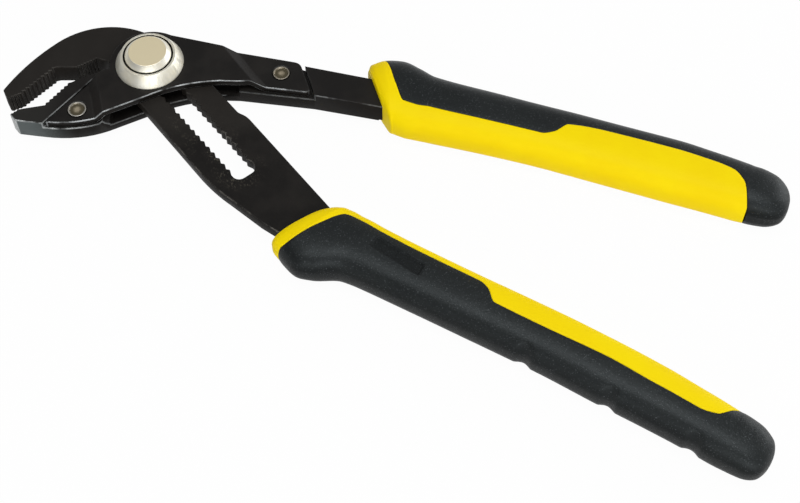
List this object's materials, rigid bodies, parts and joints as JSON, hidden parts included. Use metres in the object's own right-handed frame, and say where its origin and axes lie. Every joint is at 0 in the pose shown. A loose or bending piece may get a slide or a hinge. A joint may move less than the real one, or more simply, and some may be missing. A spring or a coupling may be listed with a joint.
{
  "type": "water pump pliers",
  "caption": "Adjustable pump pliers with a push-button lock, a toothed sliding lever, serrated jaws and two-tone moulded grips.",
  "frame": {"origin": "on the pin axis, at the back face of the upper lever", "axes": "+X from the pin towards the handle ends, +Z along the pin axis towards the button"},
  "size_m": [0.2534, 0.1622, 0.0198],
  "materials": {
    "black_steel": "black oxide",
    "nickel": "satin nickel",
    "spring_steel": "drawn wire",
    "yellow_plastic": "satin",
    "black_rubber": "fine matt grain"
  },
  "bodies": {
    "upper_half": {"upper_lever": "black_steel", "cover_plate": "black_steel", "front_rivet": "nickel", "rear_rivet": "nickel", "upper_grip_core": "yellow_plastic", "upper_grip_cover": "black_rubber"},
    "pivot": {"pivot_collar": "nickel", "return_spring": "spring_steel"},
    "lock_button": {"push_button": "nickel", "lock_key": "black_steel", "retaining_ring": "black_steel"},
    "lower_half": {"lower_lever": "black_steel", "lower_grip_core": "yellow_plastic", "lower_grip_cover": "black_rubber"}
  },
  "joints": [
    {"name": "jaw_pivot", "type": "hinge", "parent": "upper_half", "child": "pivot", "pos_m": [0, 0, 0], "axis": [0, 0, -1], "range_deg": [-6.6, 34]},
    {"name": "jaw_adjust", "type": "slide", "parent": "pivot", "child": "lower_half", "axis": [-0.6239, 0.7815, 0], "range_m": [0, 0.05112]},
    {"name": "button_press", "type": "slide", "parent": "pivot", "child": "lock_button", "axis": [0, 0, -1], "range_m": [0, 0.0025], "stiffness_N_per_m": 1500, "springref_m": -0.003, "deforming": ["return_spring"]}
  ]
}
